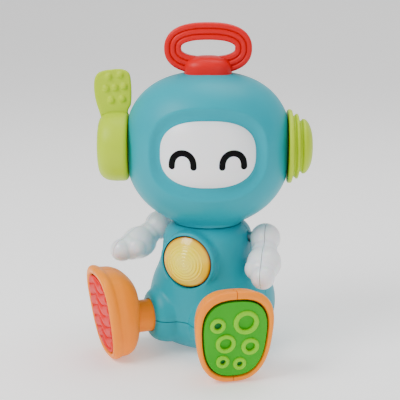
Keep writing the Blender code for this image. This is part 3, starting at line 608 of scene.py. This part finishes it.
def make_loop_mount():
    """The loaf that holds the loop's lower run."""
    outline = [superellipse(2 * pi * k / 96, 17.8, 14.2, 2.6) for k in range(96)]
    rows = [[(x, y, 206.0) for x, y in outline]]
    for n in range(31):
        share, rise = superellipse(pi / 2 * n / 30, 1.0, 9.8, 2.5)
        share = max(share, 0.004)
        rows.append([(x * share, y * share, 216.0 + rise) for x, y in outline])
    mount = skin("loop_loaf", rows, HEAD)
    finish_piece(mount, "head", RED, "red_rubber", "loop_mount")


# ---------------------------------------------------------------- ears

def make_ridged_ear():
    """The stepped cap: three rounded terraces, turned about the ears' axis."""
    profile = curve_through((
        (0.0, 79.0), (6.0, 78.85), (12.0, 78.0), (16.4, 76.4), (19.2, 74.6), (20.6, 72.8), (20.6, 71.3),
        (19.6, 70.4), (19.3, 69.5), (20.4, 68.6), (22.8, 68.2), (24.3, 67.7), (24.6, 66.6), (23.7, 65.6),
        (23.0, 64.9), (23.6, 64.0), (25.8, 63.5), (27.5, 62.9), (27.9, 61.6), (27.7, 60.5), (27.2, 59.9),
    ), 5)
    cap = lathe("stepped_ear", [*profile, (0.0, 59.9)], EARS, "X")
    finish_piece(cap, "ridged_ear", LIME, "lime_plastic", "ridged_cap")


def make_paddle_drum():
    profile = curve_through((
        (0.0, 83.0), (8.0, 82.95), (15.0, 82.7), (20.0, 81.7), (23.3, 79.6), (25.4, 76.2), (26.3, 71.8),
        (26.4, 67.0), (26.3, 63.0), (25.6, 61.0), (24.4, 60.0),
    ), 6)
    drum = lathe("ear_drum", [*profile, (0.0, 59.95)], EARS, "-X")
    carve(drum, block((-90, -2.7, 18.0), (-57, 2.7, 40), EARS))
    finish_piece(drum, "paddle_ear", LIME, "lime_plastic", "paddle_drum")


# Places of the raised dots on the blade, across and up from the ears' axis
BLADE_DOTS = ((-73.9, 52.6), (-65.4, 54.0), (-76.0, 43.8), (-69.3, 44.5), (-62.6, 45.5), (-72.2, 35.2),
              (-63.9, 36.2))
DOT_RADIUS = 2.9


def make_paddle_blade():
    """The flat paddle with its soft edge, and the dots that melt into its front."""
    outline = curve_through((
        (-79.4, 17.9), (-81.2, 25.0), (-83.9, 34.0), (-85.1, 43.0), (-84.6, 50.5), (-82.4, 54.8),
        (-78.4, 56.8), (-72.0, 57.8), (-65.5, 58.2), (-60.8, 56.9), (-58.2, 53.6), (-57.3, 46.0),
        (-57.3, 37.0), (-58.0, 31.0), (-60.0, 27.0), (-60.7, 17.9),
    ), 6)
    rows = []
    for y, drawn in ((-2.3, 3.0), (-2.3, 1.2), (-2.0, 0.4), (-1.4, 0.0), (1.4, 0.0), (2.0, 0.4), (2.3, 1.2),
                     (2.3, 3.0)):
        row = []
        for x, z in outline:
            toward = Vector((-71.0 - x, 0.0, 38.0 - z)).normalized() * drawn
            row.append((x + toward.x, y, z + toward.z))
        rows.append(row)
    parts = [skin("blade", rows, EARS)]
    rise = [(DOT_RADIUS * cos(pi / 2 * n / 8), 1.8 + 2.4 * sin(pi / 2 * n / 8)) for n in range(9)]
    for x, z in BLADE_DOTS:
        place = EARS @ Matrix.Translation((x * MM, 0, z * MM))
        parts.append(lathe("bump", [(0.0, 1.0), (DOT_RADIUS, 1.0), *rise], place, "-Y", steps=32))
    blade = fuse("ear_blade", parts, 0.5, 2)
    finish_piece(blade, "paddle_ear", LIME, "lime_plastic", "paddle_blade")


# ---------------------------------------------------------------- body

# Levels of the body's form: height, half-width, front and back
BODY_LEVELS = (
    (0.0, 37.0, -14.0, 50.0), (1.0, 39.0, -18.5, 52.0), (4.0, 41.6, -25.0, 54.0), (9.0, 43.8, -32.0, 56.0),
    (16.0, 45.8, -37.5, 57.5), (26.0, 48.0, -40.5, 58.8), (37.0, 48.3, -41.0, 58.5),
    (47.0, 46.2, -40.5, 55.5), (57.0, 42.5, -39.0, 49.5), (66.0, 37.8, -37.5, 43.0),
    (76.0, 34.2, -36.3, 37.5), (86.0, 33.2, -34.8, 35.0), (92.5, 32.0, -32.8, 33.0),
    (97.0, 29.0, -29.3, 29.3), (99.4, 25.8, -25.8, 25.8),
)


def body_rows(inset, low, high, count):
    """The body's form between two heights, drawn in by an inset."""
    rows = []
    for height, half_width, front, back in curve_through(BODY_LEVELS, 5):
        if not low <= height <= high:
            continue
        middle, half_depth = (front + back) / 2, (back - front) / 2 - inset
        ring = [superellipse(2 * pi * k / count, half_width - inset, half_depth, 2.2) for k in range(count)]
        rows.append([(x, middle + y, height) for x, y in ring])
    return rows


THIGH = ((0.0, 48.5), (14.8, 48.5), (16.4, 48.1), (18.4, 46.6), (20.6, 43.4), (22.2, 38.4), (23.0, 32.0),
         (23.2, 26.0), (21.0, 16.0), (0.0, 14.0))
THIGH_HOLLOW = ((0.0, 46.1), (16.0, 46.1), (18.2, 43.6), (20.0, 38.0), (20.6, 28.0), (18.0, 18.0),
                (0.0, 17.0))


SEAM_GAP_HALF = 0.28
VENT_PITCH, VENT_Z = 5.0, 55.0


def body_form():
    """The hollow body in one piece: torso, thighs and the button's boss, melted together."""
    boss = ((0.0, 36.9), (21.6, 36.9), (22.6, 36.0), (23.0, 24.0), (0.0, 22.0))
    parts = [skin("body_form", body_rows(0.0, -1, 101, 160))]
    for side in (1, -1):
        parts.append(lathe("thigh", THIGH, LEG[side], "-Y", steps=64))
    parts.append(lathe("boss", boss, BUTTON, "-Y"))
    body = fuse("body_form", parts, 1.15, 9)
    hollows = [skin("hollow", body_rows(2.6, 3.5, 95.8, 48))]
    hollows += [lathe("hollow", THIGH_HOLLOW, LEG[side], "-Y", steps=32) for side in (1, -1)]
    for hollow in hollows:
        carve(body, hollow)
    return body


def body_holes():
    """Cutters for the button, neck, switch, ankles, shoulders, screws, speaker and battery door."""
    holes = [
        bar((0, -60, BUTTON_Z), (0, -22, BUTTON_Z), 20.1, steps=128),
        bar((0, 0, 90), (0, 0, 104), 14.0),
        block((-6.6, 50, 39.3), (6.6, 62, 44.7)),
    ]
    for side in (1, -1):
        holes.append(bar((0, -40, 0), (0, -60, 0), 12.95, LEG[side], steps=96))
        holes.append(bar((side * 20, *SHOULDER_YZ), (side * 60, *SHOULDER_YZ), 4.4))
        holes.append(bar((side * 36.5, 11, 50.5), (side * 36.5, 70, 50.5), SCREW_HOLE))
        holes.append(bar((side * 27.2, 11, 69.0), (side * 27.2, 70, 69.0), SCREW_HOLE))
        holes.append(bar((side * 40.6, 15.3, -2), (side * 40.6, 15.3, 23), SCREW_HOLE))
    for k in range(7):
        x = VENT_PITCH * cos(2 * pi * k / 6) if k < 6 else 0.0
        z = VENT_Z + (VENT_PITCH * sin(2 * pi * k / 6) if k < 6 else 0.0)
        holes.append(bar((x, 38, z), (x, 60, z), 1.3, steps=24))
    holes.append(block((-26.3, 4.7, -3), (26.3, 41.3, 2.3)))
    holes.append(block((-5.3, 40, -3), (5.3, 46.3, 2.3)))
    return holes


def make_body():
    """Front shell, rear shell and base cover, cut from one form so that they run on across the seams."""
    body = carve(body_form(), *body_holes())
    above, below = BASE_SEAM_Z + SEAM_GAP_HALF, BASE_SEAM_Z - SEAM_GAP_HALF
    ahead, behind = BODY_SEAM_Y - SEAM_GAP_HALF, BODY_SEAM_Y + SEAM_GAP_HALF
    for name, low, high, node in (
        ("body_front", (-80, -80, above), (80, ahead, 120), "torso_front_shell"),
        ("body_rear", (-80, behind, above), (80, 80, 120), "torso_rear_shell"),
        ("body_base", (-80, -80, -5), (80, 80, below), "base_cover"),
    ):
        shell = clone(body, name)
        carve(shell, block(low, high), operation="INTERSECT")
        finish_piece(shell, "torso", TEAL, "teal_plastic", node)
    discard(body)


DOME_RADIUS = 18.9


def make_button():
    """The press button: a clear dome with fine rings moulded into it."""
    profile = []
    for n in range(121):
        radius = DOME_RADIUS * n / 120
        height = 42.6 - 5.6 * (radius / DOME_RADIUS) ** 2.3
        ripple = 0.22 * cos(2 * pi * radius / 2.35) if radius < 14.5 else 0.0
        profile.append((radius, height + ripple))
    profile += [(19.3, 36.3), (LENS_RADIUS, 35.2), (LENS_RADIUS, 27.0)]
    profile += [(17.6, 27.0), (17.6, 35.0), (12.0, 38.0), (0.0, 39.6)]
    lens = lathe("button_dome", profile, BUTTON, "-Y", steps=128)
    finish_piece(lens, "chest_button", LENS, "yellow_lens", "button_lens")


# ---------------------------------------------------------------- arms

# Each lobe of the mitt: its centre, and its half-size each way
ARM_LOBES = (
    ((0.0, 0.0, 0.0), (11.6, 11.6, 11.6)),
    ((1.0, -21.0, -8.0), (13.0, 15.0, 12.8)),
    ((2.2, -37.0, -9.0), (9.0, 9.6, 9.0)),
    ((-4.6, -28.0, -8.0), (8.0, 8.8, 8.2)),
)
# Narrower fill between the lobes, which leaves soft creases
ARM_WAISTS = (
    ((0.6, -10.5, -4.0), (9.6, 8.0, 9.4)),
    ((0.8, -30.0, -8.6), (10.8, 9.0, 10.4)),
)


ARM_SEAM_X = 1.5
HALF_GAP = 0.22


def ball(centre, halves, matrix, steps=48):
    rows = []
    for n in range(steps // 2 + 1):
        lean = pi * n / (steps // 2)
        radius = max(sin(lean), 0.001)
        rows.append([(centre[0] + halves[0] * radius * cos(2 * pi * k / steps),
                      centre[1] + halves[1] * radius * sin(2 * pi * k / steps),
                      centre[2] - halves[2] * cos(lean)) for k in range(steps)])
    return skin("lobe", rows, matrix)


def make_arm(side):
    word = "left" if side > 0 else "right"
    lobes = [ball((side * x, y, z), halves, ARM[side]) for (x, y, z), halves in ARM_LOBES + ARM_WAISTS]
    arm = fuse("arm_form", lobes, 0.65, 10)
    for part, low, high in (("inner", -60.0, ARM_SEAM_X - HALF_GAP), ("outer", ARM_SEAM_X + HALF_GAP, 60.0)):
        if side < 0:
            low, high = -high, -low
        shell = clone(arm, f"{word}_mitt_{part}")
        carve(shell, block((low, -80, -60), (high, 40, 40), ARM[side]), operation="INTERSECT")
        finish_piece(shell, f"{word}_arm", PEARL, "pearl_plastic", f"{word}_arm_{part}_shell")
    discard(arm)


# ---------------------------------------------------------------- feet

SHOE_HALF_WIDTH, SHOE_HALF_HEIGHT, SHOE_MID, SHOE_TAPER = 27.8, 35.6, 6.7, 0.12
SHOE_TILT = radians(8)
SOLE_Y, SOLE_SHARE = 86.4, 0.80
# The shoe from ankle to rim and in to the sole: distance along the leg, share of full size, share of the tilt
SHOE_SECTIONS = (
    (60.5, 0.36, 0.0), (61.4, 0.54, 0.08), (63.6, 0.72, 0.22), (67.6, 0.868, 0.48), (72.5, 0.94, 0.75),
    (76.6, 0.954, 0.95), (78.9, 0.962, 1.0), (80.4, 0.982, 1.0), (82.0, 0.998, 1.0), (83.8, 1.0, 1.0),
    (85.4, 0.986, 1.0), (86.4, 0.955, 1.0), (86.8, 0.915, 1.0), (86.3, 0.872, 1.0), (84.6, 0.845, 1.0),
)


def middle_of(share):
    """Height of a section's middle above the leg's axis."""
    return SHOE_MID * min(1.0, 0.2 + share * 0.8)


def shoe_point(angle, share, distance, tilt_share):
    lean = tan(SHOE_TILT * tilt_share)
    x, z = superellipse(angle, SHOE_HALF_WIDTH * share, SHOE_HALF_HEIGHT * share, 2.7)
    x *= 1.0 + SHOE_TAPER * z / SHOE_HALF_HEIGHT
    rise = middle_of(share) + z
    return Vector((x, -(distance + lean * rise), rise))


def make_foot(side):
    word = "left" if side > 0 else "right"
    for part, facing in (("inner", -side), ("outer", side)):
        rows = []
        for distance, share, tilt in curve_through(SHOE_SECTIONS, 5):
            row = []
            for k in range(73):
                angle = -pi / 2 + pi * k / 72
                point = shoe_point(angle, share, distance, tilt)
                point.x = facing * max(point.x, HALF_GAP)
                row.append(point)
            rows.append(row)
        half = skin(f"{word}_shoe_{part}", rows, LEG[side], around=False)
        thicken(half, 1.8)
        finish_piece(half, f"{word}_foot", ORANGE, "orange_plastic", f"{word}_shoe_{part}_half")
    profile = ((12.4, 62.5), (12.4, 60.0), (12.3, 50.0), (12.3, 43.0), (9.8, 43.0), (9.8, 62.5))
    stub = lathe(f"{word}_stub", profile, LEG[side], "-Y", closed=True)
    finish_piece(stub, f"{word}_foot", ORANGE, "orange_plastic", f"{word}_ankle_stub")
    if side > 0:
        make_ring_sole()
    else:
        make_wave_sole()


def sole_grid(name, side, relief, look, slot, node, rings=90, around=200):
    """A sole pad whose front follows a relief, a height in millimetres at a place on the pad."""
    rows = []
    for share, depth in ((SOLE_SHARE, 81.5), (0.818, 81.5), (0.818, 85.0), (0.815, 85.8), (0.805, 86.3)):
        rows.append([shoe_point(2 * pi * k / around, share, depth, 1.0) for k in range(around)])
    for n in range(1, rings + 1):
        share = SOLE_SHARE * (1 - n / rings) + 0.0004
        row = []
        for k in range(around):
            point = shoe_point(2 * pi * k / around, share, SOLE_Y, 1.0)
            rise = SHOE_MID + (point.z - middle_of(share))
            fade = min(1.0, (SOLE_SHARE - share) / 0.03)
            point.z = rise
            point.y = -(SOLE_Y + tan(SHOE_TILT) * rise + relief(point.x, rise) * fade)
            row.append(point)
        rows.append(row)
    pad = skin(name, rows, LEG[side])
    return finish_piece(pad, "left_foot" if side > 0 else "right_foot", look, slot, node)


# Rings on the left sole, in its own plane: across, up, outer radius, hole radius
SOLE_RINGS = ((-13.2, 17.5, 5.7, 2.6), (7.2, 18.6, 9.2, 5.7), (-7.0, 3.0, 7.3, 4.2), (11.0, -0.5, 6.6, 3.4),
              (-8.6, -11.2, 4.9, 1.9), (3.8, -13.6, 4.9, 1.9))


def well_relief(x, z):
    """The green pad is flat but for a shallow well inside each ring."""
    for across, up, _, hole in SOLE_RINGS:
        if ((x - across) ** 2 + (z - up) ** 2) ** 0.5 < hole + 0.3:
            return -1.2
    return 0.0


def make_ring_sole():
    sole_grid("green_sole", 1, well_relief, GREEN_SOLE, "green_rubber", "left_sole_pad")
    for number, (across, up, outer, hole) in enumerate(SOLE_RINGS, 1):
        half, middle = (outer - hole) / 2, (outer + hole) / 2
        profile = []
        for k in range(17):
            lean = pi * k / 16
            profile.append((middle + half * cos(lean), 0.2 + 1.5 * sin(lean) ** 0.6))
        profile += [(hole, -0.6), (outer, -0.6)]
        place = Vector((across, -(SOLE_Y + tan(SHOE_TILT) * up), up)) * MM
        matrix = LEG[1] @ Matrix.Translation(place) @ Matrix.Rotation(SHOE_TILT, 4, "X")
        ring = lathe(f"sole_ring_{number}", profile, matrix, "-Y", steps=64, closed=True)
        finish_piece(ring, "left_foot", RING_LIME, "green_rubber")
        floor = ((0.0, -0.9), (hole + 0.2, -0.9), (hole + 0.2, -1.4), (0.0, -1.4))
        well = lathe(f"sole_well_{number}", floor, matrix, "-Y", steps=48)
        # Small wells get the darker green as painted shade; large wells keep the pad's green.
        finish_piece(well, "left_foot", GREEN_WELL_SHADE if hole < 3.0 else GREEN_SOLE, "green_rubber")


def wave_relief(x, z):
    """Round ropes that run across the red pad in a wave."""
    swing = 2 * pi * x / 29.0
    rope = z + 2.3 * sin(swing) + 0.5 * sin(2 * swing)
    return 2.2 * abs(sin(pi * rope / 8.7)) ** 0.6 - 1.5


def make_wave_sole():
    sole_grid("red_sole", -1, wave_relief, RED_SOLE, "red_rubber", "right_sole_pad", rings=110, around=260)


# ---------------------------------------------------------------- small parts kept from the frame

KEPT_LOOKS = {
    "steel": STEEL, "white_plastic": FACE, "circuit_board": BOARD, "black_plastic": DARK,
    "battery_wrap": WRAP, "clear_led": FACE, "teal_plastic": TEAL, "lime_plastic": LIME,
    "orange_plastic": ORANGE,
}


def dress_kept_nodes():
    """Give every CAD node that stays its material."""
    slots = {row["node"]: row["material_slot"] for row in frame["record"]["subparts"]}
    for name, obj in frame["nodes"].items():
        look = KEPT_LOOKS.get(slots[name], TEAL)
        obj.data.materials.clear()
        obj.data.materials.append(look)
        obj.data.shade_smooth()
        obj.data.set_sharp_from_angle(angle=radians(35))


def shorten_spring():
    """Give the return spring a mesh of its own."""
    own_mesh(frame["nodes"]["button_spring"])


# ---------------------------------------------------------------- stage

LAMPS = (
    ("key", (-0.5, -0.85, 1.0), 0.6, 14.0),
    ("fill", (1.1, -0.9, 0.5), 0.9, 3.5),
    ("top", (0.1, 0.25, 1.3), 0.8, 9.0),
)


def make_stage():
    """A pale floor that sweeps up behind, a white world and three soft lamps."""
    floor_look = Look("studio_floor", 0.6)
    floor_look.shader.inputs["Base Color"].default_value = (0.97, 0.965, 0.965, 1.0)
    floor_look.shader.inputs["Emission Color"].default_value = (1.0, 1.0, 1.0, 1.0)
    floor_look.shader.inputs["Emission Strength"].default_value = 0.3
    rows = [[(x, -4000.0, -0.05) for x in (-5000, 5000)], [(x, 1500.0, -0.05) for x in (-5000, 5000)]]
    for n in range(1, 25):
        turn = pi / 2 * n / 24
        rows.append([(x, 1500.0 + 1500.0 * sin(turn), 1500.0 - 1500.05 * cos(turn)) for x in (-5000, 5000)])
    rows.append([(x, 3000.0, 5000.0) for x in (-5000, 5000)])
    floor = skin("studio_floor", rows, around=False)
    floor.data.materials.append(floor_look.material)
    world = bpy.data.worlds.new("studio")
    world.use_nodes = True
    world.node_tree.nodes["Background"].inputs["Color"].default_value = (1.0, 1.0, 1.0, 1.0)
    world.node_tree.nodes["Background"].inputs["Strength"].default_value = 0.55
    bpy.context.scene.world = world
    for name, place, size, power in LAMPS:
        light = bpy.data.lights.new(name, "AREA")
        light.energy = power
        light.size = size
        lamp = bpy.data.objects.new(name, light)
        lamp.location = place
        lamp.rotation_euler = (Vector((0, 0, 0.12)) - Vector(place)).to_track_quat("-Z", "Y").to_euler()
        bpy.context.scene.collection.objects.link(lamp)


def make_camera():
    """Straight at the head's face, from above."""
    data = bpy.data.cameras.new("camera")
    data.lens = 92.3
    data.sensor_width = 36.0
    camera = bpy.data.objects.new("camera", data)
    bpy.context.scene.collection.objects.link(camera)
    away = radians(25)
    reach, height, drop = 0.764, 0.301, radians(13.65)
    camera.location = (reach * sin(away), -reach * cos(away), height)
    aim = Vector((-0.006 * cos(away), -0.006 * sin(away), height - reach * tan(drop)))
    camera.rotation_euler = (aim - camera.location).to_track_quat("-Z", "Y").to_euler()
    bpy.context.scene.camera = camera


make_camera()
dress_kept_nodes()
shorten_spring()
make_head()
make_face()
make_loop()
make_loop_mount()
make_ridged_ear()
make_paddle_drum()
make_paddle_blade()
make_body()
make_button()
for one_side in (1, -1):
    make_arm(one_side)
    make_foot(one_side)
make_stage()
